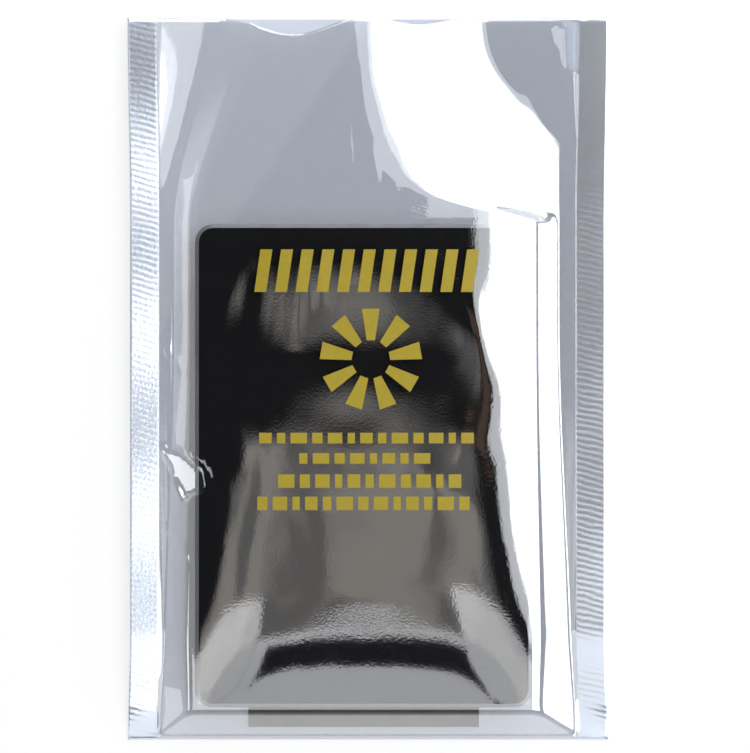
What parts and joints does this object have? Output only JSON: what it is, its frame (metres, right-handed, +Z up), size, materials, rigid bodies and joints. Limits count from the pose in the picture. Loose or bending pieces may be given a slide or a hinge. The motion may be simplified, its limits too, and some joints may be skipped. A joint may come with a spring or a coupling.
{
  "type": "anti static shielding bag",
  "caption": "Flat open-topped static shielding bag of see-through metallised film, folded at the bottom and sealed down both sides, with a slim drive inside.",
  "frame": {"origin": "under the middle of the bag, on the surface that it lies on", "axes": "+Z up from that surface and out of the printed front, +Y from the folded bottom to the open mouth, +X across the bag to the right"},
  "size_m": [0.1, 0.15, 0.0092],
  "materials": {
    "metallised_film": "see-through metallised film, mirror bright",
    "drive_shell": "satin black",
    "connector_plastic": "moulded, matte",
    "print_ink": "yellow printing ink"
  },
  "bodies": {
    "root": {"shielding_bag": "metallised_film", "drive_cover": "drive_shell", "drive_base": "drive_shell", "drive_connector": "connector_plastic"}
  },
  "joints": []
}
